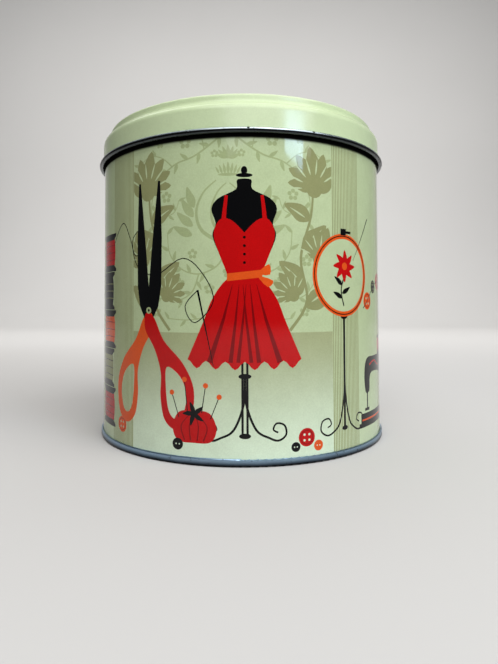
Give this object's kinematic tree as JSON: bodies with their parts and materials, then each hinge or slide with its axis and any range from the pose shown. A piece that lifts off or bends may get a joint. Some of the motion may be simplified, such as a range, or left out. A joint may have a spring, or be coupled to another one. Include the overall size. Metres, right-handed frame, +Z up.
{
  "type": "round slip-lid tin box",
  "caption": "Round tinplate box with a double-seamed bottom, a folded side seam and a lift-off slip lid with a rolled edge, for bobbins and sewing notions.",
  "frame": {"origin": "centre of the foot ring that the tin stands on", "axes": "+Z up along the tin's axis, towards the lid; -Y is the printed front, and the side seam is at +Y"},
  "size_m": [0.1346, 0.1346, 0.138],
  "materials": {
    "printed_tinplate": "glossy varnished print, pale green",
    "bare_tinplate": "bright rolled tinplate, blue-grey",
    "lid_tinplate": "glossy varnished pale green outside, bare tinplate inside and on the roll",
    "compound": "matt sealing compound"
  },
  "bodies": {
    "tin": {"body_wall": "printed_tinplate", "bottom_end": "bare_tinplate", "seam_compound": "compound"},
    "lid": {"lid": "lid_tinplate"}
  },
  "joints": [
    {"name": "lid_lift", "type": "slide", "parent": "tin", "child": "lid", "axis": [0, 0, 1], "range_m": [0, 0.08]}
  ]
}
